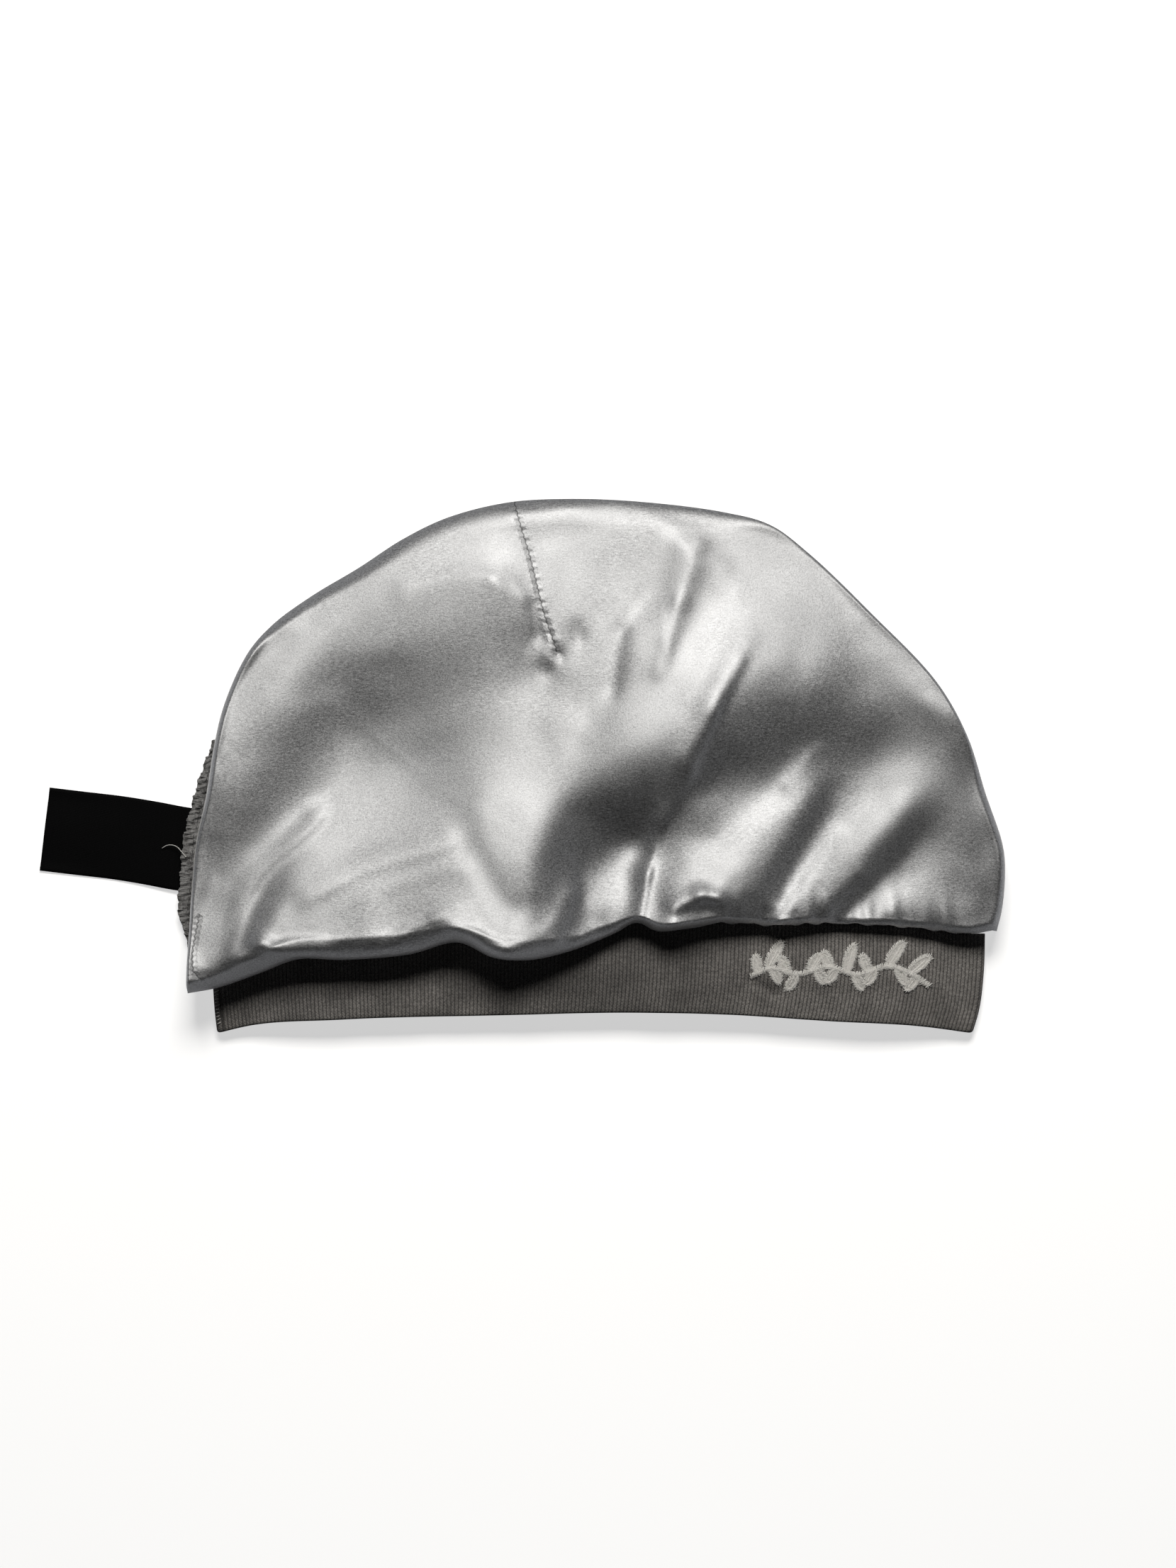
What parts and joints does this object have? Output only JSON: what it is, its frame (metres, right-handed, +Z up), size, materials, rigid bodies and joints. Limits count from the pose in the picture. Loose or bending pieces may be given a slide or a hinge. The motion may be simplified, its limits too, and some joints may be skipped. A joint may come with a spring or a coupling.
{
  "type": "skull cap",
  "caption": "Soft satin-lined jersey skull cap, turned lining side out and lying flat, with a folded knit band round its mouth.",
  "frame": {"origin": "centre of the cap's footprint, on the surface that it lies on", "axes": "+Z up off the surface, +Y from the mouth to the top of the crown, +X from the back seam to the forehead side"},
  "size_m": [0.2905, 0.1609, 0.0323],
  "materials": {
    "satin": "silver-grey satin, soft sheen",
    "jersey": "heathered grey knit, matte",
    "serging": "overlocked grey edge, matte",
    "label": "black woven ribbon",
    "thread": "off-white rayon thread"
  },
  "bodies": {
    "root": {"satin_lining": "satin", "jersey_shell": "jersey", "band": "jersey", "back_seam": "serging", "care_label": "label", "embroidery": "thread"}
  },
  "joints": []
}
